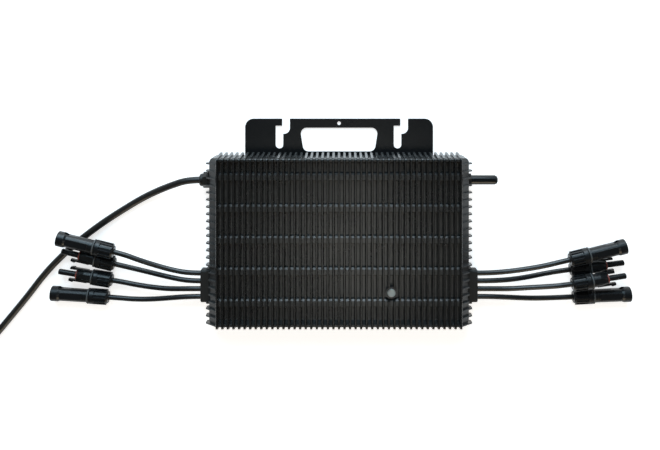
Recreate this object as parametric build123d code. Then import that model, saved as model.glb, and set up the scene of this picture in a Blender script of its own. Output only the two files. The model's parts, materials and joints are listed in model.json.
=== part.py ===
from build123d import *
import os
from math import cos, pi, radians, sin, tan

# Micro inverter for roof-top solar modules, lying on its back.
# Millimetres. +X to the right along the housing, +Y towards the hanging bracket,
# +Z out of the front fins. The origin is the centre of the back face.

# ---------------------------------------------------------------- driving sizes
WALL_X = 150.0            # outer face of the left and right walls
WALL_Y = 96.0             # outer face of the top and bottom walls, between their ribs
FRONT_X = 140.2           # where the sloped shoulders meet the finned front
CORNER = 6.0              # radius of the housing's four upright corners
COVER_T = 4.0             # rear cover
VALLEY_Z = 28.0           # floor between the front fins
FRONT_Z = 42.0            # tips of the front fins
SHOULDER_Z = 23.0         # lower edge of the sloped shoulders
END_Y_BACK = 100.0        # tips of the wrapped-over fins at the back
END_Y_FRONT = 97.0        # and at the front
FIN_PITCH = 6.3
FIN_SIDE_COUNT = 22       # fins each side of the middle one
FIN_TIP_HALF = 1.15
FIN_ROOT_HALF = 1.6
RIDGE_YS = [74.2 - 36.0 * k for k in range(5)]
RIDGE_TOP_Z = 34.2
END_WEB_Z = 37.5          # top of the webs that close the valleys at both ends
SIDE_RIB_PITCH = 8.36
SIDE_RIB_COUNT = 23
SIDE_RIB_TOP_Y = 89.2
SIDE_RIB_T = 1.5
SIDE_RIB_X = 153.6
SIDE_RIB_Z = 12.5         # their lower end
RIM = 13.0                # wall thickness at the sealing rim
CAVITY_Z = 24.0           # inside face of the finned roof

ENTRY_Z = 15.0            # height of every cable entry and of the antenna
DC_ENTRY_Y = -53.2
LEAD_PITCH = 9.1
LEAD_R = 3.0
DC_FACE_X = 160.5
GLAND_Y = 69.0
AC_CABLE_R = 4.0
GLAND_FACE_X = 162.0
ANTENNA_TIP_X = 184.6

PIPE_X, PIPE_Y = 59.85, -57.0   # light pipe of the status lamp
PIPE_R = 4.6
PIPE_STEM_R = 2.5

GASKET_HALF = 1.2         # half its width
GASKET_T = 1.4
THROAT_HALF_Y = 17.0      # the solar entry's opening in the wall
THROAT_HALF_Z = 6.0
GLAND_THREAD_R = 6.0
ANTENNA_THREAD_R = 4.0

BRACKET_HALF_X = 111.0
BRACKET_TOP_Y = 139.4
BRACKET_FOOT_Y = 60.0
BRACKET_T = 2.0
HOOK_SPACING = 139.6      # between the two hanging slots
HOOK_LEFT_X = -70.5

BOARD_Z = 6.4             # back face of the circuit board
BOARD_T = 1.6
BOARD_TOP = BOARD_Z + BOARD_T

FIT = 0.1                 # radial clearance round a screw, a wire or a turning nut
GAP = 0.3                 # clear space in front of a turning nut

nodes = {}                # node name -> list of solids


# ---------------------------------------------------------------- small helpers
def block(x0, x1, y0, y1, z0, z1):
    """A block between two opposite corners."""
    place = Pos((x0 + x1) / 2, (y0 + y1) / 2, (z0 + z1) / 2)
    return place * Box(abs(x1 - x0), abs(y1 - y0), abs(z1 - z0))


def frame_at(origin, direction, up=(0, 0, 1)):
    """A plane whose x axis runs along direction and whose z axis is as near up as it can be."""
    along = Vector(direction).normalized()
    upright = (Vector(up) - along * Vector(up).dot(along)).normalized()
    return Plane(origin=origin, x_dir=along, z_dir=upright)


def rod(start, end, radius):
    """A round bar from one point to another."""
    along = Vector(end) - Vector(start)
    side = (0, 1, 0) if abs(along.normalized().Z) > 0.9 else (0, 0, 1)
    turn = Rot(0, 90, 0)
    seat = (Align.CENTER, Align.CENTER, Align.MIN)
    return frame_at(start, along, side) * turn * Cylinder(radius, along.length, align=seat)


def upright(x, y, z0, z1, radius):
    """A round bar along Z."""
    return Pos(x, y, (z0 + z1) / 2) * Cylinder(radius, z1 - z0)


def turned(*profile):
    """A solid turned about the X axis from (x, radius) corners."""
    return revolve(make_face(Polyline(*profile, close=True)), Axis.X)


def slab(points, axis, low, high):
    """A prism over a closed outline. axis names the direction it is drawn out in."""
    plane = {"X": Plane.YZ, "Y": Plane.XZ, "Z": Plane.XY}[axis]
    face = make_face(Polyline(*points, close=True))
    if axis == "Y":                       # Plane.XZ looks along -Y
        low, high = -high, -low
    return extrude(plane.offset(low) * face, amount=high - low)


def countersunk(x, y, head_r, head_t, shank_r, tip_z):
    """A screw put in from the back, its head flush with z = 0."""
    head = Pos(x, y, head_t / 2) * Cone(head_r, shank_r, head_t)
    socket = upright(x, y, 0, head_t * 0.6, head_r * 0.42)
    return head + upright(x, y, head_t, tip_z, shank_r) - socket


def bend_radii(points):
    """The largest radius each corner's two runs allow."""
    radii = []
    for before, corner, after in zip(points, points[1:], points[2:]):
        run_in = Vector(corner) - Vector(before)
        run_out = Vector(after) - Vector(corner)
        half_turn = radians(run_in.get_angle(run_out)) / 2
        radii.append(0.45 * min(run_in.length, run_out.length) / tan(half_turn))
    return radii


def cable(name, points, radius):
    """A round cable along straight runs joined by tangent arcs."""
    radii = bend_radii(points)
    path = FilletPolyline(*points, radius=radii)
    section = Plane(origin=path @ 0, z_dir=path % 0) * Circle(radius)
    solid = sweep(section, path=path)
    ratio = solid.volume / (pi * radius**2 * path.length)
    print(name, "length", round(path.length, 1), "volume ratio", round(ratio, 4))
    print("    radii", [round(r) for r in radii])
    return solid


def add(name, *solids):
    """File solids under a node."""
    nodes.setdefault(name, []).extend(s for solid in solids for s in solid.solids())


# ---------------------------------------------------------------- housing
def comb(root, tip, side_points):
    """The points of a row of drafted teeth, from the +X end to the -X end."""
    points = list(side_points)
    for k in range(FIN_SIDE_COUNT, -FIN_SIDE_COUNT - 1, -1):
        x = k * FIN_PITCH
        if k != FIN_SIDE_COUNT:
            points.append((x + FIN_ROOT_HALF, root))
        points += [(x + FIN_TIP_HALF + 0.1, tip - 1.0), (x + FIN_TIP_HALF - 0.35, tip)]
        points += [(x - FIN_TIP_HALF + 0.35, tip), (x - FIN_TIP_HALF - 0.1, tip - 1.0)]
        if k != -FIN_SIDE_COUNT:
            points.append((x - FIN_ROOT_HALF, root))
    return points


def is_outer_corner(edge):
    """True for an upright edge on a side wall, away from the middle."""
    return abs(abs(edge.center().X) - WALL_X) < 0.01 and abs(edge.center().Y) > 1


def end_webs():
    """Low walls across the valleys at both ends, sloped on the inside."""
    y, foot, top = WALL_Y, VALLEY_Z - 1, END_WEB_Z
    outline = [(y - 6.5, foot), (y - 3.4, top), (y - 1.0, top), (y, top - 1.5), (y, foot)]
    web = slab(outline, "X", -FRONT_X + 0.8, FRONT_X - 0.8)
    return [web, web.mirror(Plane.XZ)]


def housing_envelope():
    """The finned block: front fins, end ribs and rounded front edges as three crossed prisms."""
    shoulder_top = SHOULDER_Z + WALL_X - FRONT_X
    shoulder = [(WALL_X, COVER_T), (WALL_X, SHOULDER_Z), (FRONT_X, shoulder_top)]
    front = comb(VALLEY_Z, FRONT_Z, shoulder)
    front += [(-x, z) for x, z in reversed(shoulder)]
    across = slab(front, "Y", -110, 110)

    corner = [(WALL_X, 0), (WALL_X, WALL_Y), (FRONT_X, WALL_Y)]
    upper = comb(WALL_Y, END_Y_BACK + 1, corner)
    upper += [(-x, y) for x, y in reversed(corner)]
    plan = slab(upper, "Z", 0, 50)
    plan = fillet(plan.edges().filter_by(Axis.Z).filter_by(is_outer_corner), CORNER)
    plan = plan + plan.mirror(Plane.XZ)

    ends = [(-END_Y_BACK, COVER_T), (END_Y_BACK, COVER_T)]
    ends += [(END_Y_FRONT, FRONT_Z), (-END_Y_FRONT, FRONT_Z)]
    outline = make_face(Polyline(*ends, close=True))
    front_corners = outline.vertices().filter_by(lambda v: v.Y > COVER_T + 1)
    outline = fillet(front_corners, 3.0)
    along = extrude(Plane.YZ.offset(-160) * outline, amount=320)
    return across & plan & along


def cross_ridge(y):
    """A low bar that ties all fins together, with eased upper and lower edges."""
    foot = VALLEY_Z - 1
    outline = [(y - 4.4, foot), (y - 3.9, RIDGE_TOP_Z - 1), (y - 3.1, RIDGE_TOP_Z)]
    outline += [(y + 3.2, RIDGE_TOP_Z), (y + 5.2, RIDGE_TOP_Z - 2), (y + 6.0, foot)]
    return slab(outline, "X", -FRONT_X + 0.8, FRONT_X - 0.8)


def side_ribs():
    """Thin ribs high on both side walls, running up the shoulders."""
    top = SHOULDER_Z + WALL_X - FRONT_X
    outline = [(WALL_X - 2, SIDE_RIB_Z), (WALL_X, SIDE_RIB_Z), (SIDE_RIB_X, SIDE_RIB_Z + 3.6)]
    outline += [(SIDE_RIB_X, SHOULDER_Z + 1.2)]
    outline += [(FRONT_X + 0.6, top + 3.4), (FRONT_X - 1, top + 3.4)]
    outline += [(FRONT_X - 1, top - 2), (WALL_X - 2, SHOULDER_Z - 2)]
    ribs = []
    for k in range(SIDE_RIB_COUNT):
        y = SIDE_RIB_TOP_Y - SIDE_RIB_PITCH * k
        rib = slab(outline, "Y", y - SIDE_RIB_T / 2, y + SIDE_RIB_T / 2)
        ribs += [rib, rib.mirror(Plane.YZ)]
    clear = []
    for side in (-1, 1):
        wall, beyond = side * WALL_X, side * (SIDE_RIB_X + 6)
        clear.append(rod((wall, GLAND_Y, ENTRY_Z), (beyond, GLAND_Y, ENTRY_Z), 10.2))
        clear.append(block(wall, beyond, DC_ENTRY_Y - 21, DC_ENTRY_Y + 21, 0, 50))
    return [rib - clear for rib in ribs]


BOARD_POSTS = [(x, y) for x in (-125.0, 0.0, 125.0) for y in (-26.0, 52.0)]
EDGE_SCREWS = [(-130.0, 90.0), (130.0, 90.0)]
EDGE_SCREWS += [(x, -90.0) for x in (-130.0, -65.0, 0.0, 65.0, 130.0)]
EDGE_SCREWS += [(x, y) for x in (-145.5, 145.5) for y in (28.0, -24.0)]
BRACKET_SCREWS = [(x, 90.0) for x in (-100.0, -35.0, 35.0, 100.0)]


def gasket_loop(half_width, z0, z1):
    """A rectangular ring that runs inside the screws."""
    x, y = WALL_X - RIM + 3.2, WALL_Y - RIM + 2.2
    wide_x, wide_y = x + half_width, y + half_width
    slim_x, slim_y = x - half_width, y - half_width
    outer = block(-wide_x, wide_x, -wide_y, wide_y, z0, z1)
    return outer - block(-slim_x, slim_x, -slim_y, slim_y, z0 - 1, z1 + 1)


def make_housing():
    """Die-cast heat sink that is also the front shell, its cover, gasket and screws."""
    body = housing_envelope()
    body = body + [cross_ridge(y) for y in RIDGE_YS] + end_webs() + side_ribs()
    body -= upright(PIPE_X, PIPE_Y, VALLEY_Z, 60, 8.6)
    body += upright(PIPE_X, PIPE_Y, CAVITY_Z, 35.5, 6.6)
    cavity_x, cavity_y = WALL_X - RIM, WALL_Y - RIM
    body -= block(-cavity_x, cavity_x, -cavity_y, cavity_y, 0, CAVITY_Z)
    body += [upright(x, y, BOARD_TOP, CAVITY_Z + 1, 4.0) for x, y in BOARD_POSTS]
    holes = [upright(x, y, 0, 18, 1.5 + FIT / 2) for x, y in BOARD_POSTS]
    holes += [upright(x, y, 0, 13.5, 2.0 + FIT / 2) for x, y in EDGE_SCREWS]
    holes += [upright(x, y, 0, 15.5, 2.5 + FIT / 2) for x, y in BRACKET_SCREWS]
    holes += [upright(PIPE_X, PIPE_Y, 20, 50, PIPE_STEM_R + FIT)]
    holes += [upright(PIPE_X, PIPE_Y, 31.5, 50, PIPE_R + FIT)]
    holes += [gasket_loop(GASKET_HALF + FIT, 0, COVER_T + GASKET_T)]
    y0, y1 = DC_ENTRY_Y - THROAT_HALF_Y - FIT, DC_ENTRY_Y + THROAT_HALF_Y + FIT
    z0, z1 = ENTRY_Z - THROAT_HALF_Z - FIT, ENTRY_Z + THROAT_HALF_Z + FIT
    inside, outside = WALL_X - RIM - 7, WALL_X + 1
    holes += [block(s * inside, s * outside, y0, y1, z0, z1) for s in (-1, 1)]
    for s, thread_r in ((-1, GLAND_THREAD_R), (1, ANTENNA_THREAD_R)):
        holes.append(rod((s * inside, GLAND_Y, ENTRY_Z), (s * outside, GLAND_Y, ENTRY_Z), thread_r + FIT))
    add("heatsink_housing", body - holes)

    cover = block(-WALL_X, WALL_X, -WALL_Y, WALL_Y, 0, COVER_T)
    cover = fillet(cover.edges().filter_by(Axis.Z), CORNER)
    recess_x = BRACKET_HALF_X + GAP
    cover -= block(-recess_x, recess_x, BRACKET_FOOT_Y - GAP, 110, -1, BRACKET_T + 0.02)
    for x, y in EDGE_SCREWS:
        cover -= [upright(x, y, -1, 10, 2.2), Pos(x, y, 1.1) * Cone(4.0, 2.0, 2.2 + 0.01)]
    cover -= [upright(x, y, -1, 10, 2.8) for x, y in BRACKET_SCREWS]
    add("rear_cover", cover)
    add("housing_gasket", gasket_loop(GASKET_HALF, COVER_T, COVER_T + GASKET_T))
    add("cover_screws", *[countersunk(x, y, 3.9, 2.2, 2.0, 13.0) for x, y in EDGE_SCREWS])


# ---------------------------------------------------------------- hanging bracket
def hook_slot(x):
    """A slot open at the top through an offset entry, so the bracket hooks on and slides across."""
    half, foot_y, mouth_y = 4.5, 104.2, 131.0
    slot = block(x - half, x + half, foot_y + half, mouth_y, -1, 3) + upright(x, foot_y + half, -1, 3, half)
    entry = block(x + 3.2, x + 12.4, 128.4, 150, -1, 3)
    elbow = upright(x + 5.4, 128.4, -1, 3, 7.0) & block(x, x + 20, 118, 129, -1, 3)
    neck = block(x, x + 12.4, 128.4, mouth_y, -1, 3)
    return slot + entry + elbow + neck


def make_bracket():
    """Flat steel bracket that lies in a recess of the cover."""
    plate = block(-BRACKET_HALF_X, BRACKET_HALF_X, BRACKET_FOOT_Y, BRACKET_TOP_Y, 0, BRACKET_T)
    top_corners = plate.edges().filter_by(Axis.Z).group_by(Axis.Y)[-1]
    plate = fillet(top_corners, 10)
    corners = [(-46.4, 128.6), (46.4, 128.6), (42.0, 100.6), (-42.0, 100.6)]
    window = make_face(Polyline(*corners, close=True))
    window = extrude(Plane.XY.offset(-1) * fillet(window.vertices(), 7.0), amount=4)
    cuts = [window, hook_slot(HOOK_LEFT_X), hook_slot(HOOK_LEFT_X + HOOK_SPACING)]
    cuts += [upright(0, 134.0, -1, 3, 2.15)]
    cuts += [Pos(x, y, 1.0) * Cone(4.9, 2.6, 2.02) for x, y in BRACKET_SCREWS]
    add("hanging_bracket", plate - cuts)
    add("bracket_screws", *[countersunk(x, y, 4.8, 2.0, 2.5, 15.0) for x, y in BRACKET_SCREWS])


# ---------------------------------------------------------------- status lamp, antenna, gland
def make_light_pipe():
    """Clear stem from the lamp on the board to a disc at the front."""
    stem = upright(PIPE_X, PIPE_Y, 10.2, 32, PIPE_STEM_R)
    head = upright(PIPE_X, PIPE_Y, 31.6, 37.0, PIPE_R)
    head = chamfer(head.edges().group_by(Axis.Z)[-1], 0.8)
    add("light_pipe", stem + head)
    x, y = PIPE_X, PIPE_Y
    add("status_led", block(x - 1.8, x + 1.8, y - 1.5, y + 1.5, BOARD_TOP, 10.0))


def hex_bar(across_flats, x0, x1):
    """A hexagonal bar along X with corners towards +Y and -Y."""
    corner_r = across_flats / 3**0.5
    outline = [(corner_r * cos(a * pi / 3), corner_r * sin(a * pi / 3)) for a in range(6)]
    return slab(outline, "X", x0, x1)


def make_antenna():
    """Short fixed aerial on a threaded base through the right wall."""
    seat = Pos(0, GLAND_Y, ENTRY_Z)
    thread_r = ANTENNA_THREAD_R
    base = hex_bar(13.0, WALL_X, 153.6)
    base += turned((134, 0), (134, thread_r), (153.0, thread_r), (153.0, 0))
    base += turned((153.6, 0), (153.6, 3.0), (160, 3.0), (160, 0))
    tip, bore_r = ANTENNA_TIP_X, 3.0 + FIT
    profile = [(153.6, bore_r), (153.6, 5.5), (tip - 3.2, 5.5), (tip - 1.0, 4.4)]
    profile += [(tip, 2.6), (tip, 0), (160, 0), (160, bore_r)]
    stub = turned(*profile)
    add("antenna_base", seat * base)
    add("antenna_stub", seat * stub)


def make_ac_gland():
    """Cable gland through the left wall: hex body, turning nut and rubber seal."""
    seat = Pos(0, GLAND_Y, ENTRY_Z) * Rot(0, 0, 180)
    thread_r = GLAND_THREAD_R
    body = hex_bar(16.4, WALL_X, 153.4)
    body += turned((134, 4.3), (134, thread_r), (150.5, thread_r), (150.5, 4.3))
    body += turned((152.5, 0), (152.5, 5.4), (157.0, 5.4), (157.0, 0))
    body -= turned((133, 0), (133, 4.3), (155.4, 4.3), (155.4, 0))
    body -= turned((155, 0), (155, 1.4), (157.1, 1.4), (157.1, 0))
    nut = hex_bar(16.4, 153.4 + GAP, 157.8)
    nut += turned((157.0, 0), (157.0, 7.6), (160.6, 7.3), (GLAND_FACE_X, 6.2), (GLAND_FACE_X, 0))
    nut -= turned((150, 0), (150, 5.5), (159.2, 5.5), (160.0, 4.5), (163, 4.5), (163, 0))
    inner_r = AC_CABLE_R + FIT
    seal = turned((157.0 + GAP, inner_r), (157.0 + GAP, 5.3), (159.0, 5.3), (159.0, inner_r))
    add("ac_gland_body", seat * body)
    add("ac_gland_nut", seat * nut)
    add("cable_seals", seat * seal)


# ---------------------------------------------------------------- solar connectors
NUT_LENGTH = 22.0
NUT_R = 9.2
NUT_RIBS = 12
TAIL_R = 6.5              # threaded tail of the connector body inside the nut
CABLE_STOP = 16.0         # how far the lead reaches into the connector
COLLAR_X = NUT_LENGTH + GAP + 0.1
SOCKET_LENGTH = 67.0
PLUG_LENGTH = 63.5
STRAIGHT_OUT = 15.0       # a lead leaves its entry straight for this far
STRAIGHT_IN = 10.0        # and meets its nut straight for this far


def connector_nut():
    """Ribbed union nut that clamps the lead; turns on the connector's tail."""
    end = NUT_LENGTH
    profile = [(0, 0), (0, 6.6), (1.8, 7.7), (15.6, 7.9), (16.4, NUT_R)]
    profile += [(end - 0.8, NUT_R), (end, 8.6), (end, 0)]
    nut = turned(*profile)
    rib = block(2.2, 16.4, -0.95, 0.95, 7.2, NUT_R - 0.05)
    nut += [Rot(360 * k / NUT_RIBS, 0, 0) * rib for k in range(NUT_RIBS)]
    thread_r = TAIL_R + FIT
    return nut - turned((-1, 0), (-1, 3.6), (3, 3.6), (4, thread_r), (30, thread_r), (30, 0))


def connector_tail():
    """The part both bodies share: the tail with its seal chamber, and the bright collar."""
    x = COLLAR_X
    profile = [(6, 0), (6, TAIL_R), (x, TAIL_R), (x, 8.4), (x + 0.6, 8.9)]
    profile += [(x + 1.7, 8.9), (x + 2.2, 8.2), (x + 2.2, 0)]
    chamber = turned((5, 0), (5, 4.5), (CABLE_STOP, 4.5), (CABLE_STOP, 2.2), (33, 2.2), (33, 0))
    return turned(*profile), chamber


def socket_shell():
    """Round connector body with a deep mouth, two latch windows and a recessed pin."""
    outer, chamber = connector_tail()
    end = SOCKET_LENGTH
    body = turned((24, 0), (24, 7.7), (56, 7.9), (58.4, 8.8), (end - 0.6, 8.8), (end, 8.3), (end, 0))
    body += block(30, 55, -3.4, 3.4, -8.5, 8.5)
    body -= turned((32, 0), (32, 6.2), (end + 1, 6.2), (end + 1, 0))
    for side in (-1, 1):
        body -= block(54.5, 60.0, side * 5.5, side * 10, -3.2, 3.2)
        body -= block(44, 54.5, side * 7.3, side * 10, -3.2, 3.2)
    return outer + body - chamber


def pin_shell():
    """Connector body with two latch fingers and a long contact tube."""
    outer, chamber = connector_tail()
    end = PLUG_LENGTH
    body = turned((24, 0), (24, 7.6), (33, 7.6), (41, 6.1), (41, 0))
    body += turned((40, 0), (40, 3.3), (end - 0.8, 3.3), (end, 2.8), (end, 0))
    for side in (-1, 1):
        body += block(29, 50.5, side * 5.5, side * 7.9, -2.3, 2.3)
        barb = [(44.5, side * 7.6), (50.5, side * 7.6), (50.0, side * 8.4), (45.5, side * 9.1)]
        body += slab(barb, "Z", -2.3, 2.3)
        body -= block(26.5, 39.5, -2.6, 2.6, side * 6.6, side * 9)
        body -= block(36, 52, side * 4.9, side * 5.5, -2.4, 2.4)
    bore = turned((29, 0), (29, 2.2), (end + 1, 2.2), (end + 1, 0))
    return outer + body - chamber - bore


def contact(reach, hollow):
    """Metal contact crimped to the lead: a solid pin or a spring tube."""
    if hollow:
        tube = turned((CABLE_STOP, 0), (CABLE_STOP, 2.1), (reach, 2.1), (reach, 0))
        return tube - turned((40, 0), (40, 1.5), (reach + 1, 1.5), (reach + 1, 0))
    profile = [(CABLE_STOP, 0), (CABLE_STOP, 2.1), (33, 2.1), (33, 1.5)]
    profile += [(reach - 1, 1.5), (reach, 0.8), (reach, 0)]
    return turned(*profile)


def lead_seal():
    """Soft ring inside the nut that grips the lead."""
    return turned((6.5, LEAD_R + FIT), (6.5, 4.4), (14.0, 4.4), (14.0, LEAD_R + FIT))


def o_ring():
    """Ring at the foot of the contact tube."""
    return Pos(42.2, 0, 0) * Rot(0, 90, 0) * Torus(4.35, 1.0)


# name, body type, rear end of the nut, tip, and the lead's free points between its two straight ends
LEADS = [
    ("r1", "socket", (266.6, -22.4, 22.4), (331.9, -7.2, 20.2),
     [(198, -37.6, 15.2), (218, -34.2, 17.6), (237, -30.0, 20.8)]),
    ("r2", "pin", (270.6, -36.9, 9.5), (333.2, -28.9, 9.5),
     [(199, -47.8, 13.0), (220, -45.4, 10.8), (240, -41.6, 9.6)]),
    ("r3", "pin", (268.6, -50.0, 24.2), (332.4, -40.6, 22.4),
     [(199, -57.8, 15.4), (220, -55.8, 17.8), (240, -53.6, 22.0)]),
    ("r4", "socket", (274.1, -68.9, 9.5), (342.0, -65.9, 8.9),
     [(199, -68.4, 12.8), (221, -70.1, 10.6), (242, -70.2, 9.7)]),
    ("l1", "socket", (-260.6, -13.2, 21.8), (-325.5, 2.0, 20.8),
     [(-196, -35.6, 15.2), (-215, -29.6, 17.0), (-233, -22.8, 20.2)]),
    ("l2", "pin", (-262.6, -30.4, 9.5), (-323.8, -14.6, 12.8),
     [(-197, -45.2, 12.6), (-216, -41.4, 10.0), (-235, -37.2, 8.6)]),
    ("l3", "pin", (-265.6, -49.4, 9.5), (-327.6, -39.2, 9.5),
     [(-198, -58.6, 12.8), (-218, -57.4, 10.7), (-238, -54.6, 9.6)]),
    ("l4", "socket", (-269.9, -69.2, 9.5), (-336.8, -64.9, 8.9),
     [(-198, -69.2, 12.8), (-219, -71.3, 10.6), (-240, -71.6, 9.7)]),
]


def make_solar_leads():
    """Eight fixed leads, each ending in a two-part connector."""
    shapes = {
        "socket": (socket_shell(), contact(56.5, False), SOCKET_LENGTH),
        "pin": (pin_shell(), contact(PLUG_LENGTH - 1.5, True), PLUG_LENGTH),
    }
    nut, seal, ring = connector_nut(), lead_seal(), o_ring()
    for index, (name, kind, rear, tip, free) in enumerate(LEADS):
        shell, metal, length = shapes[kind]
        place = frame_at(rear, Vector(tip) - Vector(rear)).location
        side = 1 if name.startswith("r") else -1
        y = DC_ENTRY_Y + LEAD_PITCH * (1.5 - index % 4)
        axis = (Vector(tip) - Vector(rear)).normalized()
        run_in, stop = Vector(rear) - axis * STRAIGHT_IN, Vector(rear) + axis * CABLE_STOP
        route = [(side * DC_FACE_X, y, ENTRY_Z), (side * (DC_FACE_X + STRAIGHT_OUT), y, ENTRY_Z)]
        route += free + [tuple(run_in), tuple(stop)]
        add("dc_lead_" + name, cable("dc_lead_" + name, route, LEAD_R))
        add("connector_nut_" + name, place * nut)
        add("connector_shell_" + name, place * shell)
        add("dc_contacts", place * metal)
        add("cable_seals", place * seal)
        if kind == "pin":
            add("dc_o_rings", place * ring)


def make_dc_entries():
    """Moulded block in each side wall that four leads come out of, and the wires inside."""
    ys = [DC_ENTRY_Y + LEAD_PITCH * (1.5 - k) for k in range(4)]
    y0, z0 = DC_ENTRY_Y, ENTRY_Z
    flange = block(WALL_X, 153.6, y0 - 20.4, y0 + 20.4, z0 - 8.6, z0 + 8.6)
    flange = fillet(flange.edges().filter_by(Axis.X), 3)
    nose = block(153.6, DC_FACE_X, y0 - 19, y0 + 19, z0 - 7.4, z0 + 7.4)
    nose = fillet(nose.edges().filter_by(Axis.X), 3)
    nose = chamfer(nose.faces().sort_by(Axis.X)[-1].edges(), 1.0)
    half_y, half_z = THROAT_HALF_Y, THROAT_HALF_Z
    throat = block(135, WALL_X + 0.01, y0 - half_y, y0 + half_y, z0 - half_z, z0 + half_z)
    right = flange + nose + throat
    right -= [rod((130, y, z0), (170, y, z0), LEAD_R + FIT) for y in ys]
    add("dc_entry_right", right)
    add("dc_entry_left", right.mirror(Plane.YZ))
    for side in (-1, 1):
        for y in ys:
            core = rod((side * 128, y, z0), (side * DC_FACE_X, y, z0), LEAD_R)
            core += rod((side * 128, y, z0), (side * 124, y, z0), 1.6)
            core += upright(side * 125.6, y, BOARD_TOP, z0 + 0.5, 1.6)
            add("inner_wires", core)


# ---------------------------------------------------------------- mains cable
COIL_X, COIL_Y = -461.0, -108.0
COIL_R = 44.0             # middle of the turns
COIL_HALF = 8.0           # two turns side by side and two high
PLUG_R = 11.0             # coupling ring of the mains plug
PLUG_AXIS_Z = 11.6
PLUG_OFFSET = 40.5        # from the coil's centre to the rear of the plug, along Y
MAINS_PLUG_LENGTH = 58.0
AC_START_X = -157.0
AC_ROUTE = [
    (AC_START_X, GLAND_Y, ENTRY_Z),
    (-176, GLAND_Y, ENTRY_Z),
    (-197, 61.8, 11.6),
    (-214, 54.6, 6.6),
    (-232, 45.8, 4.1),
    (-254, 32.6, 4.0),
    (-278, 17.2, 4.0),
    (-302, -0.6, 4.0),
    (-325, -20.4, 4.0),
    (-347, -43.2, 4.0),
    (-366, -68.4, 4.0),
    (-385.1, -91.6, 4.0),
]
ENTRY_TURN = radians(39.6)  # where the cable meets the coil, below its rightmost point
ENTRY_RUN = 29.0            # straight stretch of cable that already belongs to the coil


def make_mains_cable():
    """The mains cable up to its stored coil, and the coil; gives the plug's place."""
    track = COIL_R + COIL_HALF - AC_CABLE_R
    heading = Vector(-sin(ENTRY_TURN), -cos(ENTRY_TURN), 0)
    touch = Vector(COIL_X + track * cos(ENTRY_TURN), COIL_Y - track * sin(ENTRY_TURN), AC_CABLE_R)
    entry = touch - heading * ENTRY_RUN
    add("ac_cable", cable("ac_cable", AC_ROUTE + [tuple(entry)], AC_CABLE_R))

    inner, outer, height = COIL_R - COIL_HALF, COIL_R + COIL_HALF, 2 * COIL_HALF
    ring = Pos(COIL_X, COIL_Y, height / 2) * (Cylinder(outer, height) - Cylinder(inner, height))
    ring = chamfer(ring.edges().filter_by(GeomType.CIRCLE), 2.0)
    lead_in = rod(entry, touch, AC_CABLE_R)
    plug_x = COIL_X - track
    rear = (plug_x, COIL_Y + PLUG_OFFSET, PLUG_AXIS_Z)
    lead_out = rod((plug_x, COIL_Y + 4, PLUG_AXIS_Z), rear, AC_CABLE_R)
    add("ac_cable_coil", ring + lead_in + lead_out)
    return rear


def make_mains_plug(rear):
    """Three-pole connector with a free-turning coupling ring, axis along +Y."""
    place = frame_at(rear, (0, 1, 0)).location
    length = MAINS_PLUG_LENGTH
    profile = [(0, 0), (0, 5.4), (16, 7.4), (18, 9.2), (30, 9.2), (30, 8.0), (length, 8.0), (length, 0)]
    body = turned(*profile)
    body -= turned((42, 0), (42, 6.6), (length + 1, 6.6), (length + 1, 0))
    bore_r, rim_r, foot = 8.0 + FIT, PLUG_R - 0.3, 30 + GAP
    profile = [(foot, bore_r), (foot, 10.0), (31.4, rim_r), (50.6, rim_r), (52, 10.0), (52, bore_r)]
    ring = turned(*profile)
    grip = block(32.5, 49.5, -0.9, 0.9, 10.2, PLUG_R)
    ring += [Rot(360 * k / 18, 0, 0) * grip for k in range(18)]
    pins = []
    for k in range(3):
        angle = 2 * pi * k / 3 + pi / 2
        y, z = 3.4 * cos(angle), 3.4 * sin(angle)
        pin = turned((42, 0), (42, 1.2), (length - 7, 1.2), (length - 6, 0.6), (length - 6, 0))
        pins.append(Pos(0, y, z) * pin)
    add("ac_plug_body", place * body)
    add("ac_plug_ring", place * ring)
    add("ac_plug_contacts", *[place * pin for pin in pins])


def make_mains_wires():
    """Three cores from the gland to the board."""
    for k in range(3):
        angle = 2 * pi * k / 3 + pi / 2
        y, z = GLAND_Y + 2.2 * cos(angle), ENTRY_Z + 2.2 * sin(angle)
        core = rod((-155.4, y, z), (-117 + 4 * k, y, z), 1.3)
        core += upright(-118 + 4 * k, y, BOARD_TOP, z, 1.1)
        add("inner_wires", core)


# ---------------------------------------------------------------- electronics
TRANSFORMER_XS = (-99.0, -33.0, 33.0, 99.0)
TRANSFORMER_Y = -8.0
SWITCHES = [(s * x, -40.5) for s in (-1, 1) for x in (14.0, 29.0, 44.0, 66.0)]
SWITCHES += [(x, 38.5) for x in (-22.5, -7.5, 7.5, 22.5)]
SWITCH_TOP = CAVITY_Z - 0.8


def make_board():
    """Circuit board screwed to the posts of the housing."""
    board = block(-131, 131, -79, 79, BOARD_Z, BOARD_TOP)
    board -= [upright(x, y, 0, 20, 1.6) for x, y in BOARD_POSTS]
    add("main_circuit_board", board)
    for x, y in BOARD_POSTS:
        head = upright(x, y, BOARD_Z - 1.8, BOARD_Z, 2.8) - upright(x, y, 4, BOARD_Z - 0.9, 1.2)
        add("board_screws", head + upright(x, y, BOARD_Z, 17, 1.5))


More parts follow.
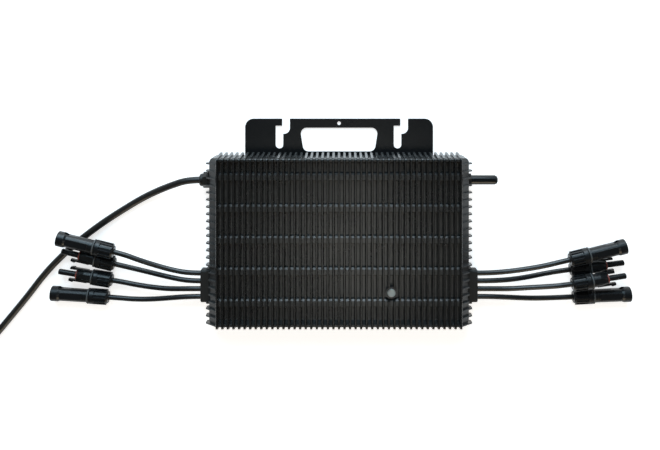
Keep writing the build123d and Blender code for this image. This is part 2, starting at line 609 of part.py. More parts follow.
def make_transformers():
    """One flat ferrite transformer for each solar input."""
    z0, z1 = BOARD_TOP, BOARD_TOP + 14
    for x in TRANSFORMER_XS:
        y = TRANSFORMER_Y
        core = block(x - 17, x + 17, y - 14, y + 14, z0 + 0.4, z1)
        for side in (-1, 1):
            core -= block(x + side * 5, x + side * 12.4, y - 15, y + 15, z0 + 3.4, z1 - 3)
        coil = block(x - 12.1, x + 12.1, y - 20, y + 20, z0 + 3.7, z1 - 3.3)
        coil -= block(x - 5.3, x + 5.3, y - 14.4, y + 14.4, z0, z1)
        pins = [upright(x + px, y + py, z0, z0 + 3.8, 0.5) for px in (-8, 0, 8) for py in (-18, 18)]
        add("transformer_cores", core)
        add("copper_windings", coil + pins)


def make_capacitors():
    """Lying electrolytic cans with a rolled groove, box film capacitors and surge discs."""
    can_r = 6.3
    z = BOARD_TOP + can_r
    groove = turned((-74.4, can_r - 0.3), (-74.4, 7), (-73.4, 7), (-73.4, can_r - 0.3))
    for x in (-110.0, -96.0, -82.0, -20.0, 20.0, 82.0, 96.0, 110.0):
        can = rod((x, -76, z), (x, -50.5, z), can_r)
        add("bulk_capacitors", can - Pos(x, 0, z) * Rot(0, 0, 90) * groove)
    for x in (-82.0, -52.0, 52.0, 82.0):
        case = block(x - 13, x + 13, 24, 36, BOARD_TOP, BOARD_TOP + 14.5)
        add("film_capacitors", fillet(case.edges().filter_by(Axis.Z), 1.2))
    for x in (-118.0, -112.0, -106.0):
        add("surge_protectors", rod((x, 40, BOARD_TOP + 6.6), (x + 4, 40, BOARD_TOP + 6.6), 6.5))


def make_chokes():
    """Two toroid chokes: a ring core with separate wire loops round it."""
    for x in (-78.0, 78.0):
        y, z0 = 59.0, BOARD_TOP + 1.6
        add("filter_chokes", Pos(x, y, z0 + 5.5) * (Cylinder(12, 11) - Cylinder(6.6, 12)))
        loop = block(5.1, 13.5, -0.8, 0.8, -7.0, 7.0) - block(6.5, 12.1, -2, 2, -5.6, 5.6)
        for k in range(12):
            add("copper_windings", Pos(x, y, z0 + 5.5) * Rot(0, 0, 30 * k + 15) * loop)


def make_power_stage():
    """Transistors pressed to the roof over thermal pads, and the output relays."""
    for x, y in SWITCHES:
        body = block(x - 5, x + 5, y - 7.5, y + 7.5, SWITCH_TOP - 4.4, SWITCH_TOP)
        for leg_x in (x - 2.5, x, x + 2.5):
            x0, x1, leg_top = leg_x - 0.4, leg_x + 0.4, SWITCH_TOP - 2.1
            body += block(x0, x1, y + 7.4, y + 10, leg_top - 0.7, leg_top)
            body += block(x0, x1, y + 9.3, y + 10, BOARD_TOP, leg_top)
        add("power_transistors", body)
        add("thermal_pads", block(x - 6, x + 6, y - 8.5, y + 8.5, SWITCH_TOP, CAVITY_Z))
    for x in (-36.0, 36.0):
        add("output_relays", block(x - 14, x + 14, 58, 71, BOARD_TOP, BOARD_TOP + 14.8))


def make_logic():
    """Control chips and the wireless module."""
    for x, half in ((-66.0, 5.0), (0.0, 7.0), (66.0, 5.0)):
        add("control_chips", block(x - half, x + half, 0, 2 * half, BOARD_TOP, BOARD_TOP + 1.6))
    carrier = block(98, 118, 44, 66, BOARD_TOP, BOARD_TOP + 1.0)
    can = block(100, 116, 46, 60, BOARD_TOP + 1, BOARD_TOP + 3.4)
    add("wireless_module", carrier + can)


# ---------------------------------------------------------------- build and write
make_housing()
make_bracket()
make_light_pipe()
make_antenna()
make_ac_gland()
make_solar_leads()
make_dc_entries()
make_mains_plug(make_mains_cable())
make_mains_wires()
make_board()
make_transformers()
make_capacitors()
make_chokes()
make_power_stage()
make_logic()

os.makedirs("parts", exist_ok=True)
for name, solids in nodes.items():
    export_step(Compound(children=solids) if len(solids) > 1 else solids[0], "parts/" + name + ".step")
print(len(nodes), "nodes")
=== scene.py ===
import json
from math import cos, pi, radians, sin

import bmesh
import bpy
from mathutils import Matrix, Vector


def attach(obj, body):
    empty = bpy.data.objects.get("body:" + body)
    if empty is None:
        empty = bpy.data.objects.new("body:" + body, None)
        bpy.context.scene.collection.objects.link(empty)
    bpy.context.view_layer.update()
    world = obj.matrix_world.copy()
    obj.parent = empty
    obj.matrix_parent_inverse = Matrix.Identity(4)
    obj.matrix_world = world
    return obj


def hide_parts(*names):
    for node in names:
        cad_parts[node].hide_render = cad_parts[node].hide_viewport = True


# Micro inverter on its back: solar leads on both sides, one mains cable and a stub aerial.
# Metres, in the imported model's frame. +Y is the hanging bracket's end, +Z the fins.

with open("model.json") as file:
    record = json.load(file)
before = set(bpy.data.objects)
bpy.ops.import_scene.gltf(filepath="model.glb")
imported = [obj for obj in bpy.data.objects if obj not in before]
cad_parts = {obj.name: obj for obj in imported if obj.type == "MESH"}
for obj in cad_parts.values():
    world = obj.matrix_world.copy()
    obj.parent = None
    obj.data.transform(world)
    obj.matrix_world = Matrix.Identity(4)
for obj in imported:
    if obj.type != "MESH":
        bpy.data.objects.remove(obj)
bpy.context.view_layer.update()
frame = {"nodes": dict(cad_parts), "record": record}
MM = 0.001


# ---------------------------------------------------------------- camera and lights
CAMERA_PLACE = (0.0023, 0.204, 0.942)
camera_data = bpy.data.cameras.new("camera")
camera_data.lens = 43.4
camera_data.sensor_width = 36
camera_data.shift_x = -0.0167
camera_data.shift_y = -0.244
camera_data.clip_end = 60
camera = bpy.data.objects.new("camera", camera_data)
camera.location = CAMERA_PLACE
bpy.context.scene.collection.objects.link(camera)
bpy.context.scene.camera = camera


def soft_light(name, place, target, size, power, colour):
    """A square area light at place that faces target."""
    data = bpy.data.lights.new(name, "AREA")
    data.size = size
    data.energy = power
    data.color = colour
    light = bpy.data.objects.new(name, data)
    light.location = place
    light.rotation_euler = (Vector(target) - Vector(place)).to_track_quat("-Z", "Y").to_euler()
    bpy.context.scene.collection.objects.link(light)


soft_light("key_light", (-0.25, 1.9, 1.5), (0, 0, 0), 1.5, 44, (0.6, 0.84, 1.0))
soft_light("left_light", (-2.2, 0.3, 1.5), (0, 0, 0), 1.4, 3.5, (1.0, 0.99, 0.97))
soft_light("right_light", (2.2, 0.5, 1.5), (0, 0, 0), 1.4, 3.5, (0.97, 0.98, 1.0))
soft_light("low_light", (0.2, -1.9, 1.0), (0, 0, 0), 1.2, 17, (1.0, 0.84, 0.62))
soft_light("ridge_light", (0, 2.0, 0.6), (0, 0, 0), 0.9, 22, (0.8, 0.92, 1.0))
soft_light("front_light", (0.03, -0.36, 1.6), (0, 0, 0), 0.34, 1.7, (1.0, 0.98, 0.9))

world = bpy.data.worlds.new("studio")
world.use_nodes = True
world.node_tree.nodes["Background"].inputs["Color"].default_value = (0.93, 0.96, 1.0, 1)
world.node_tree.nodes["Background"].inputs["Strength"].default_value = 0.07
bpy.context.scene.world = world
bpy.context.scene.view_settings.view_transform = "Standard"


# ---------------------------------------------------------------- shader helpers
class Wire:
    """An output of a node. Arithmetic on it adds Math nodes."""

    def __init__(self, finish, socket):
        self.finish = finish
        self.socket = socket

    def math(self, operation, *values):
        return self.finish.node("ShaderNodeMath", {"operation": operation}, dict(enumerate(values)))

    def __add__(self, other):
        return self.math("ADD", self, other)

    def __radd__(self, other):
        return self.math("ADD", other, self)

    def __sub__(self, other):
        return self.math("SUBTRACT", self, other)

    def __rsub__(self, other):
        return self.math("SUBTRACT", other, self)

    def __mul__(self, other):
        return self.math("MULTIPLY", self, other)

    def __rmul__(self, other):
        return self.math("MULTIPLY", other, self)


class Finish:
    """A material in the making, around one Principled shader."""

    def __init__(self, name):
        self.material = bpy.data.materials.new(name)
        self.material.use_nodes = True
        self.tree = self.material.node_tree
        self.shader = self.tree.nodes["Principled BSDF"]
        self.place = self.node("ShaderNodeTexCoord", output="Object")

    def node(self, kind, settings=None, values=None, output=0):
        """Any node, with its settings and its sockets' values or wires."""
        made = self.tree.nodes.new(kind)
        for key, value in (settings or {}).items():
            setattr(made, key, value)
        for key, value in (values or {}).items():
            self.plug(made.inputs[key], value)
        return Wire(self, made.outputs[output])

    def plug(self, socket, value):
        if isinstance(value, Wire):
            self.tree.links.new(value.socket, socket)
        else:
            socket.default_value = value

    def noise(self, scale, detail=2.0, roughness=0.5):
        values = {"Vector": self.place, "Scale": scale, "Detail": detail, "Roughness": roughness}
        return self.node("ShaderNodeTexNoise", None, values)

    def stretched_noise(self, scale_xyz, detail=2.0):
        """Noise with a scale of its own along each axis."""
        spread = self.node("ShaderNodeMapping", None, {"Vector": self.place, "Scale": scale_xyz})
        return self.node("ShaderNodeTexNoise", None, {"Vector": spread, "Scale": 1.0, "Detail": detail})

    def axis(self, name):
        """One coordinate of the object, in metres."""
        return self.node("ShaderNodeSeparateXYZ", None, {"Vector": self.place}, name)

    def step(self, value, low, high):
        """From 0 below low to 1 above high, smoothly."""
        values = {"Value": value, "From Min": low, "From Max": high, "To Min": 0.0, "To Max": 1.0}
        return self.node("ShaderNodeMapRange", {"interpolation_type": "SMOOTHSTEP"}, values)

    def blend(self, share, low, high):
        """A colour between two colours."""
        settings = {"data_type": "RGBA", "clamp_factor": False}
        return self.node("ShaderNodeMix", settings, {0: share, 6: low, 7: high}, 2)

    def eased_edges(self, radius):
        """The surface's normal, rounded over along sharp edges."""
        return self.node("ShaderNodeBevel", {"samples": 4}, {"Radius": radius})

    def bump(self, height, distance, normal=None):
        values = {"Height": height, "Distance": distance, "Strength": 1.0}
        if normal:
            values["Normal"] = normal
        return self.node("ShaderNodeBump", None, values)

    def set(self, **values):
        """Principled sockets by name, with underscores for spaces."""
        for key, value in values.items():
            self.plug(self.shader.inputs[key.replace("_", " ")], value)
        return self.material


def grey(value, tint=(1.0, 1.0, 1.0)):
    return tuple(value * part for part in tint) + (1.0,)


COOL = (0.86, 1.0, 1.16)
NEUTRAL = (0.99, 1.0, 1.0)
VALLEY_PAINTED_LIGHT = 0.042         # how pale the painted light between the fins is
TIP_HIGHLIGHT_DEPTH = 0.0012       # how far down from the fins' tips the painted highlight reaches
PAINTED_LIGHT_LOW, PAINTED_LIGHT_HIGH = 0.012, 0.001   # below the tips: full painted light, and none
FIN_TIPS_Z = 0.042
COAT_GLOSS = 0.36           # specular level of coats and mouldings


# ---------------------------------------------------------------- finishes
def powder_coat(name, dark, light, tint, shine, edge, tips_z=None):
    """Satin black coating on metal: orange peel and faint mottling, with painted light in the hollows
    between the fins and a painted highlight on the fins' tips.
    """
    finish = Finish(name)
    mottle = finish.noise(46, 4.0, 0.6)
    handled = finish.step(finish.noise(11, 3.0), 0.48, 0.72)
    share = mottle * 0.6 + handled * 0.4
    if tips_z:
        height = finish.axis("Z")
        # painted highlight: the fin tips are painted lighter, standing in for the light they catch
        painted_tip_highlight = finish.step(height, tips_z - TIP_HIGHLIGHT_DEPTH, tips_z)
        share = share * (1 - painted_tip_highlight * 0.5) + painted_tip_highlight * 0.3
    colour = finish.blend(share, grey(dark, tint), grey(light, tint))
    if tips_z:
        # painted light: the hollows between the fins are painted paler, standing in for lit valley floors
        painted_valley_light = 1 - finish.step(height, tips_z - PAINTED_LIGHT_LOW, tips_z - PAINTED_LIGHT_HIGH)
        colour = finish.blend(painted_valley_light * (0.75 + mottle * 0.5), colour, grey(VALLEY_PAINTED_LIGHT, tint))
    peel = finish.noise(1500, 2.0)
    cast = finish.noise(260, 3.0)
    normal = finish.bump(peel * 0.5 + cast, 0.00006, finish.eased_edges(edge))
    roughness = shine + mottle * 0.12 - handled * 0.05
    finish.shader.inputs["Specular IOR Level"].default_value = COAT_GLOSS
    return finish.set(Base_Color=colour, Roughness=roughness, Normal=normal)


def moulded(name, dark, light, tint, shine, grain=2600, depth=0.00004, edge=0.0003):
    """Moulded plastic with a fine spark-eroded grain and slightly shinier patches."""
    finish = Finish(name)
    cloud = finish.noise(70, 3.0, 0.6)
    colour = finish.blend(cloud, grey(dark, tint), grey(light, tint))
    normal = finish.bump(finish.noise(grain, 1.0), depth, finish.eased_edges(edge))
    finish.shader.inputs["Specular IOR Level"].default_value = COAT_GLOSS
    return finish.set(Base_Color=colour, Roughness=shine + cloud * 0.14, Normal=normal)


def cable_jacket(name, dark, light, tint, shine, stretch):
    """Extruded jacket: faint drawn lines along the cable and a little dust."""
    finish = Finish(name)
    drawn = finish.stretched_noise(stretch, 3.0)
    dust = finish.step(finish.noise(35, 4.0), 0.5, 0.75)
    share = drawn * 0.7 + dust * 0.3
    colour = finish.blend(share, grey(dark, tint), grey(light, tint))
    normal = finish.bump(drawn + finish.noise(1800, 1.0) * 0.4, 0.00005)
    return finish.set(Base_Color=colour, Roughness=shine + dust * 0.1, Normal=normal)


def bare_metal(name, colour, shine, scratch):
    """Turned or rolled metal with fine scratches."""
    finish = Finish(name)
    lines = finish.stretched_noise(scratch, 2.0)
    deep = tuple(part * 0.8 for part in colour[:3]) + (1.0,)
    tone = finish.blend(lines, deep, colour)
    normal = finish.bump(lines, 0.00003)
    return finish.set(Base_Color=tone, Roughness=shine + lines * 0.15, Metallic=1.0, Normal=normal)


def painted_part(name, low, high, scale, shine, depth=0.00003):
    """A small part's coloured casing, with a mottled surface."""
    finish = Finish(name)
    cloud = finish.noise(scale, 3.0, 0.6)
    normal = finish.bump(finish.noise(scale * 12, 1.0), depth)
    return finish.set(
        Base_Color=finish.blend(cloud, low, high), Roughness=shine + cloud * 0.1, Normal=normal
    )


PALE_FROM_Z, PALE_FULL_Z = 0.0352, 0.0368   # heights between which the pipe's head turns pale


def frosted_light_pipe():
    """Milky plastic that spreads the lamp's light, paler at its top."""
    finish = Finish("frosted_light_pipe")
    cloud = finish.noise(240, 2.0)
    high = finish.step(finish.axis("Z"), PALE_FROM_Z, PALE_FULL_Z)
    share = cloud * 0.3 + high * 0.7
    colour = finish.blend(share, (0.22, 0.225, 0.21, 1), (0.42, 0.42, 0.39, 1))
    finish.shader.inputs["Subsurface Weight"].default_value = 0.25
    finish.shader.inputs["Subsurface Scale"].default_value = 0.002
    normal = finish.bump(finish.noise(900, 1.0), 0.00004)
    return finish.set(Base_Color=colour, Roughness=0.32 + cloud * 0.1, Normal=normal)


def green_laminate():
    """Circuit board: solder mask over copper tracks."""
    finish = Finish("green_laminate")
    across = finish.stretched_noise((900, 60, 1), 1.0)
    along = finish.stretched_noise((60, 900, 1), 1.0)
    tracks = finish.step(across * along, 0.24, 0.27)
    colour = finish.blend(tracks, (0.008, 0.06, 0.022, 1), (0.02, 0.13, 0.045, 1))
    normal = finish.bump(tracks, 0.00003)
    return finish.set(Base_Color=colour, Roughness=0.34 + tracks * 0.06, Normal=normal)


def wound_copper():
    """Enamelled wire, laid turn beside turn."""
    finish = Finish("wound_copper")
    settings = {"wave_type": "BANDS", "bands_direction": "Y", "wave_profile": "SIN"}
    turns = finish.node("ShaderNodeTexWave", settings, {"Vector": finish.place, "Scale": 320.0}, 1)
    colour = finish.blend(turns, (0.32, 0.09, 0.03, 1), (0.78, 0.32, 0.12, 1))
    normal = finish.bump(turns, 0.0002)
    return finish.set(Base_Color=colour, Roughness=0.28 + turns * 0.1, Metallic=0.85, Normal=normal)


CAN_STRIPE_Z = 0.0195       # the stripe covers the can above this height


def sleeved_can():
    """Shrink-sleeved capacitor can with a pale stripe."""
    finish = Finish("sleeved_can")
    stripe = finish.step(finish.axis("Z"), CAN_STRIPE_Z, CAN_STRIPE_Z + 0.0002)
    colour = finish.blend(stripe, (0.012, 0.016, 0.03, 1), (0.4, 0.42, 0.45, 1))
    normal = finish.bump(finish.noise(700, 2.0), 0.00004)
    return finish.set(Base_Color=colour, Roughness=0.3 + stripe * 0.15, Normal=normal)


def inner_wire_sleeves():
    """Insulated cores: one hue for the mains side, another for the solar side."""
    finish = Finish("inner_wire_sleeves")
    side = finish.step(finish.axis("Y"), 0.0, 0.01)
    colour = finish.blend(side, (0.02, 0.02, 0.022, 1), (0.16, 0.055, 0.02, 1))
    normal = finish.bump(finish.noise(1500, 1.0), 0.00003)
    return finish.set(Base_Color=colour, Roughness=0.4 + finish.noise(90) * 0.1, Normal=normal)


FINISHES = {
    "cast_heatsink": powder_coat("cast_fins", 0.0045, 0.009, NEUTRAL, 0.21, 0.0004, FIN_TIPS_Z),
    "cover_metal": powder_coat("back_cover_coat", 0.005, 0.009, NEUTRAL, 0.42, 0.0003),
    "bracket_steel": powder_coat("bracket_coat", 0.004, 0.0075, COOL, 0.24, 0.0003),
    "connector_plastic": moulded("connector_moulding", 0.004, 0.008, COOL, 0.25),
    "fitting_plastic": moulded("gland_moulding", 0.005, 0.009, NEUTRAL, 0.32),
    "antenna_sheath": moulded("aerial_sheath", 0.003, 0.006, COOL, 0.12, 1800),
    "entry_rubber": moulded("lead_entry_rubber", 0.006, 0.01, NEUTRAL, 0.48, 1400, 0.00006, 0.0004),
    "gasket_rubber": moulded("seal_rubber", 0.012, 0.02, NEUTRAL, 0.6, 1200, 0.00006),
    "chip_plastic": moulded("chip_moulding", 0.012, 0.02, NEUTRAL, 0.5, 2400),
    "lead_jacket": cable_jacket("solar_lead_jacket", 0.004, 0.009, COOL, 0.33, (60, 900, 900)),
    "mains_jacket": cable_jacket("mains_cable_jacket", 0.004, 0.009, NEUTRAL, 0.36, (300, 300, 700)),
    "screw_steel": bare_metal("screw_steel", (0.48, 0.48, 0.5, 1), 0.28, (900, 900, 200)),
    "contact_metal": bare_metal("tinned_contact", (0.62, 0.6, 0.56, 1), 0.2, (200, 1500, 1500)),
    "shield_can": bare_metal("shield_can", (0.6, 0.6, 0.6, 1), 0.3, (1200, 200, 200)),
    "o_ring_rubber": painted_part("red_o_ring", (0.15, 0.03, 0.022, 1), (0.24, 0.05, 0.036, 1), 160, 0.42),
    "light_pipe": frosted_light_pipe(),
    "led_body": painted_part("lamp_body", (0.6, 0.6, 0.5, 1), (0.8, 0.8, 0.7, 1), 300, 0.25),
    "wire_insulation": inner_wire_sleeves(),
    "board_laminate": green_laminate(),
    "ferrite": painted_part("ferrite", (0.03, 0.03, 0.032, 1), (0.055, 0.055, 0.06, 1), 120, 0.55, 0.00008),
    "copper_wire": wound_copper(),
    "capacitor_can": sleeved_can(),
    "film_capacitor_case": painted_part("film_case", (0.5, 0.34, 0.03, 1), (0.6, 0.42, 0.05, 1), 90, 0.3),
    "varistor_coat": painted_part("disc_coat", (0.03, 0.08, 0.3, 1), (0.05, 0.12, 0.38, 1), 140, 0.4),
    "thermal_pad": painted_part("thermal_pad", (0.28, 0.33, 0.4, 1), (0.36, 0.4, 0.46, 1), 200, 0.7),
    "relay_case": painted_part("relay_case", (0.012, 0.03, 0.16, 1), (0.02, 0.045, 0.2, 1), 80, 0.3),
}

SEAL_FINISH = painted_part("pale_seal", (0.05, 0.054, 0.056, 1), (0.085, 0.09, 0.092, 1), 160, 0.5)

for row in frame["record"]["subparts"]:
    for slot in frame["nodes"][row["node"]].material_slots:
        slot.material = FINISHES[row["material_slot"]]


# ---------------------------------------------------------------- making pieces
RING_STEPS = 48             # facets round a ring on a connector
BOOT_STEPS = 40             # and round the plug's strain relief


def closed_loop(mesh, corners):
    """Edges through corners given in millimetres, back to the first."""
    verts = [mesh.verts.new([value * MM for value in corner]) for corner in corners]
    for first, second in zip(verts, verts[1:] + verts[:1]):
        mesh.edges.new((first, second))


def turn_round(mesh, axis, steps):
    """Spins the outline in mesh once round an axis through the origin."""
    bmesh.ops.spin(
        mesh, geom=mesh.verts[:] + mesh.edges[:], cent=(0, 0, 0), axis=axis,
        angle=2 * pi, steps=steps, use_merge=True,
    )
    bmesh.ops.remove_doubles(mesh, verts=mesh.verts, dist=1e-6)


def finished_piece(name, mesh, slot_name, finish=None):
    """Turns a bmesh into a piece that rides on the fixed body and has a slot's finish or its own."""
    bmesh.ops.recalc_face_normals(mesh, faces=mesh.faces)
    data = bpy.data.meshes.new(name)
    mesh.to_mesh(data)
    mesh.free()
    for face in data.polygons:
        face.use_smooth = True
    data.set_sharp_from_angle(angle=radians(35))
    data.materials.append(finish or FINISHES[slot_name])
    piece = bpy.data.objects.new(name, data)
    bpy.context.scene.collection.objects.link(piece)
    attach(piece, "root")
    return piece


def cord_line(name, points, radius, slot_name):
    """A cord on one smooth curve whose control points are the route's points, in millimetres."""
    curve = bpy.data.curves.new(name, "CURVE")
    curve.dimensions = "3D"
    curve.bevel_depth = radius * MM
    curve.bevel_resolution = 7
    curve.resolution_u = 12
    curve.use_fill_caps = True
    spline = curve.splines.new("NURBS")
    spline.points.add(len(points) - 1)
    for control, (x, y, z) in zip(spline.points, points):
        control.co = (x * MM, y * MM, z * MM, 1.0)
    spline.order_u = 3
    spline.use_endpoint_u = True
    spline.use_smooth = True
    curve.materials.append(FINISHES[slot_name])
    piece = bpy.data.objects.new(name, curve)
    bpy.context.scene.collection.objects.link(piece)
    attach(piece, "root")
    return piece


# ---------------------------------------------------------------- solar leads
DC_FACE_X = 160.5
DC_ENTRY_Y = -53.2
LEAD_PITCH = 9.1
ENTRY_Z = 15.0
LEAD_R = 3.0
STRAIGHT_OUT = 15.0
STRAIGHT_IN = 10.0
CABLE_STOP = 16.0
O_RING_X = 42.2
LEADS = [
    ("r1", "socket", (266.6, -22.4, 22.4), (331.9, -7.2, 20.2),
     [(198, -37.6, 15.2), (218, -34.2, 17.6), (237, -30.0, 20.8)]),
    ("r2", "pin", (270.6, -36.9, 9.5), (333.2, -28.9, 9.5),
     [(199, -47.8, 13.0), (220, -45.4, 10.8), (240, -41.6, 9.6)]),
    ("r3", "pin", (268.6, -50.0, 24.2), (332.4, -40.6, 22.4),
     [(199, -57.8, 15.4), (220, -55.8, 17.8), (240, -53.6, 22.0)]),
    ("r4", "socket", (274.1, -68.9, 9.5), (342.0, -65.9, 8.9),
     [(199, -68.4, 12.8), (221, -70.1, 10.6), (242, -70.2, 9.7)]),
    ("l1", "socket", (-260.6, -13.2, 21.8), (-325.5, 2.0, 20.8),
     [(-196, -35.6, 15.2), (-215, -29.6, 17.0), (-233, -22.8, 20.2)]),
    ("l2", "pin", (-262.6, -30.4, 9.5), (-323.8, -14.6, 12.8),
     [(-197, -45.2, 12.6), (-216, -41.4, 10.0), (-235, -37.2, 8.6)]),
    ("l3", "pin", (-265.6, -49.4, 9.5), (-327.6, -39.2, 9.5),
     [(-198, -58.6, 12.8), (-218, -57.4, 10.7), (-238, -54.6, 9.6)]),
    ("l4", "socket", (-269.9, -69.2, 9.5), (-336.8, -64.9, 8.9),
     [(-198, -69.2, 12.8), (-219, -71.3, 10.6), (-240, -71.6, 9.7)]),
]


def along_axis(rear, tip):
    """The matrix that lays a shape drawn along +X from the nut's rear towards the tip."""
    axis = (Vector(tip) - Vector(rear)).normalized()
    turn = axis.to_track_quat("X", "Z").to_matrix().to_4x4()
    return Matrix.Translation(Vector(rear) * MM) @ turn


def o_ring_piece(name, place):
    """Soft red ring at the foot of a contact tube."""
    mesh = bmesh.new()
    ring_r, cord_r = 4.35 * MM, 1.0 * MM
    made = bmesh.ops.create_circle(mesh, segments=14, radius=cord_r)
    stand = Matrix.Translation((0, ring_r, 0)) @ Matrix.Rotation(0, 4, "X")
    bmesh.ops.transform(mesh, matrix=stand, verts=made["verts"])
    turn_round(mesh, (1, 0, 0), RING_STEPS)
    shift = Matrix.Translation((O_RING_X * MM, 0, 0))
    bmesh.ops.transform(mesh, matrix=place @ shift, verts=mesh.verts)
    return finished_piece(name, mesh, "o_ring_rubber")


def seal_ring_piece(name, place):
    """Pale flat seal that shows between a nut and its connector."""
    mesh = bmesh.new()
    outline = [(22.5, 8.0), (22.5, 8.95), (22.8, 9.1), (23.7, 9.1), (24.0, 8.95), (24.0, 8.0)]
    closed_loop(mesh, [(x, r, 0) for x, r in outline])
    turn_round(mesh, (1, 0, 0), RING_STEPS)
    bmesh.ops.transform(mesh, matrix=place, verts=mesh.verts)
    return finished_piece(name, mesh, "gasket_rubber", SEAL_FINISH)


def make_leads():
    """The solar leads, each with its seal and, on a pin type, its ring."""
    rings = []
    for index, (name, kind, rear, tip, free) in enumerate(LEADS):
        side = 1 if name.startswith("r") else -1
        y = DC_ENTRY_Y + LEAD_PITCH * (1.5 - index % 4)
        axis = (Vector(tip) - Vector(rear)).normalized()
        start = (side * DC_FACE_X, y, ENTRY_Z)
        route = [start, (side * (DC_FACE_X + STRAIGHT_OUT), y, ENTRY_Z)] + free
        route += [tuple(Vector(rear) - axis * STRAIGHT_IN), tuple(Vector(rear) + axis * CABLE_STOP)]
        lead = cord_line("solar_lead_" + name, route, LEAD_R, "lead_jacket")
        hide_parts("dc_lead_" + name)
        seal = seal_ring_piece("collar_seal_" + name, along_axis(rear, tip))
        if kind == "pin":
            ring = o_ring_piece("o_ring_" + name, along_axis(rear, tip))
            rings.append(ring)
        [value * MM for value in start]
    for ring in rings:
        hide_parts("dc_o_rings")


# ---------------------------------------------------------------- mains cable
COIL_X, COIL_Y = -461.0, -108.0
OUTER_TRACK = 48.0
INNER_TRACK = 40.0
LOW, HIGH = 4.0, 12.0
AC_CABLE_R = 4.0
GLAND_Y = 69.0
AC_ROUTE = [
    (-157, GLAND_Y, ENTRY_Z),
    (-176, GLAND_Y, ENTRY_Z),
    (-197, 61.8, 11.6),
    (-214, 54.6, 6.6),
    (-232, 45.8, 4.1),
    (-254, 32.6, 4.0),
    (-278, 17.2, 4.0),
    (-302, -0.6, 4.0),
    (-325, -20.4, 4.0),
    (-347, -43.2, 4.0),
    (-366, -68.4, 4.0),
    (-385.1, -91.6, 4.0),
]
ENTRY_TURN = 39.6           # degrees below the coil's rightmost point, where the cable meets it
ENTRY_RUN = 29.0
COIL_SWEEP = 360.0 * 3 + 180.0 - ENTRY_TURN   # three and a half turns, less the entry
COIL_STEPS = 55
PLUG_OFFSET = 40.5          # from the coil's centre to the rear of the plug
PLUG_AXIS_Z = 11.6
# turns swept, radius and height of the winding, which changes its track between the turns
WINDING = [
    (-0.1, OUTER_TRACK, LOW), (0.8, OUTER_TRACK, LOW), (1.0, INNER_TRACK, LOW),
    (1.62, INNER_TRACK, LOW), (1.86, INNER_TRACK, HIGH), (2.38, INNER_TRACK, HIGH),
    (2.62, OUTER_TRACK, HIGH), (4.0, OUTER_TRACK, HIGH),
]


def winding_at(turns):
    """Radius and height of the winding after so many turns."""
    for (t0, r0, z0), (t1, r1, z1) in zip(WINDING, WINDING[1:]):
        if turns <= t1:
            share = (turns - t0) / (t1 - t0)
            eased = share * share * (3 - 2 * share)
            return r0 + (r1 - r0) * eased, z0 + (z1 - z0) * eased


def coil_points():
    """Control points of the coil, wound clockwise as seen from above."""
    points = []
    step = COIL_SWEEP / COIL_STEPS
    for k in range(COIL_STEPS + 2):
        swept = (k - 0.5) * step
        radius, height = winding_at(swept / 360)
        corner_r = radius / cos(radians(step / 2))
        angle = radians(-ENTRY_TURN - swept)
        points.append((COIL_X + corner_r * cos(angle), COIL_Y + corner_r * sin(angle), height))
    return points


def coil_tie(name, angle):
    """Hook-and-loop strap round the four strands of the coil, with its end lapped over."""
    mesh = bmesh.new()
    half, height, width, thick = 8.3, 16.2, 5.0, 0.7
    bmesh.ops.create_cube(mesh, size=1.0)
    size = Matrix.Diagonal((2 * half * MM, 2 * width * MM, height * MM, 1.0))
    bmesh.ops.transform(mesh, matrix=size, verts=mesh.verts)
    long_edges = [e for e in mesh.edges if abs((e.verts[0].co - e.verts[1].co).y) > width * MM]
    bmesh.ops.bevel(
        mesh, geom=long_edges, offset=3.6 * MM, offset_type="OFFSET", segments=6, profile=0.5,
        affect="EDGES", material=-1,
    )
    ends = [f for f in mesh.faces if abs(f.normal.y) > 0.9]
    bmesh.ops.delete(mesh, geom=ends, context="FACES")
    bmesh.ops.recalc_face_normals(mesh, faces=mesh.faces)
    bmesh.ops.solidify(mesh, geom=mesh.faces[:], thickness=thick * MM)
    lap = bmesh.ops.create_cube(mesh, size=1.0)["verts"]
    lap_size = Matrix.Diagonal((9.0 * MM, 1.9 * width * MM, thick * MM, 1.0))
    lap_place = Matrix.Translation((1.0 * MM, 0, (height / 2 + 1.5 * thick) * MM))
    bmesh.ops.transform(mesh, matrix=lap_place @ lap_size, verts=lap)
    middle = (OUTER_TRACK + INNER_TRACK) / 2
    centre = (COIL_X + middle * cos(angle), COIL_Y + middle * sin(angle), height / 2)
    place = Matrix.Translation(Vector(centre) * MM) @ Matrix.Rotation(angle, 4, "Z")
    bmesh.ops.transform(mesh, matrix=place, verts=mesh.verts)
    return finished_piece(name, mesh, "gasket_rubber")


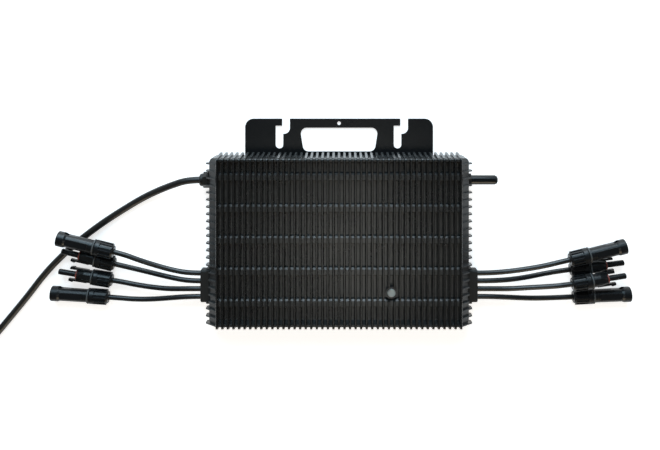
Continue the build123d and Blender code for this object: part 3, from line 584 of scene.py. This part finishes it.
def plug_boot(rear):
    """Tapered, ringed strain relief behind the mains plug."""
    mesh = bmesh.new()
    length, rings = 26.0, 7
    outline = [(-length, AC_CABLE_R - 0.1), (-length, 4.9)]
    for k in range(rings):
        x = -length + 2.0 + 3.3 * k
        r = 5.0 + 0.06 * (x + length)
        outline += [(x, r + 0.3), (x + 1.9, r + 0.3), (x + 2.2, r - 0.25), (x + 3.0, r - 0.25)]
    outline += [(0.0, 6.6), (1.0, 6.6), (1.0, AC_CABLE_R - 0.1)]
    closed_loop(mesh, [(0, x, r) for x, r in outline])
    turn_round(mesh, (0, 1, 0), BOOT_STEPS)
    bmesh.ops.translate(mesh, vec=Vector(rear) * MM, verts=mesh.verts)
    return finished_piece("plug_strain_relief", mesh, "gasket_rubber")


def make_mains_cable():
    """The mains cable from its gland through the stored coil to the plug."""
    heading = Vector((-sin(radians(ENTRY_TURN)), -cos(radians(ENTRY_TURN)), 0))
    turned = radians(ENTRY_TURN)
    touch = Vector((COIL_X + OUTER_TRACK * cos(turned), COIL_Y - OUTER_TRACK * sin(turned), LOW))
    plug_x = COIL_X - OUTER_TRACK
    rear = (plug_x, COIL_Y + PLUG_OFFSET, PLUG_AXIS_Z)
    route = AC_ROUTE + [tuple(touch - heading * ENTRY_RUN)] + coil_points()
    route += [(plug_x, rear[1] - 14, PLUG_AXIS_Z), (plug_x, rear[1] + 0.5, PLUG_AXIS_Z)]
    cable = cord_line("mains_cable", route, AC_CABLE_R, "mains_jacket")
    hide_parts("ac_cable", "ac_cable_coil")
    on_cable = ["ac_plug_body", "ac_plug_ring", "ac_plug_contacts", plug_boot(rear)]
    on_cable += [coil_tie("coil_tie_north", radians(95)), coil_tie("coil_tie_south", radians(-115))]


make_leads()
make_mains_cable()


# ---------------------------------------------------------------- floor
FLOOR_GLOW = 0.75           # keeps the floor near white under soft light


def pale_floor():
    """A matt white floor, well past the object on every side."""
    finish = Finish("pale_floor")
    cloud = finish.noise(1.2, 2.0)
    colour = finish.blend(cloud, (0.9, 0.9, 0.9, 1), (0.93, 0.93, 0.93, 1))
    finish.shader.inputs["Emission Strength"].default_value = FLOOR_GLOW
    finish.set(Base_Color=colour, Roughness=0.8 + cloud * 0.05, Emission_Color=colour)
    mesh = bmesh.new()
    bmesh.ops.create_grid(mesh, x_segments=1, y_segments=1, size=6.0)
    data = bpy.data.meshes.new("floor")
    mesh.to_mesh(data)
    mesh.free()
    data.materials.append(finish.material)
    floor = bpy.data.objects.new("floor", data)
    bpy.context.scene.collection.objects.link(floor)


pale_floor()
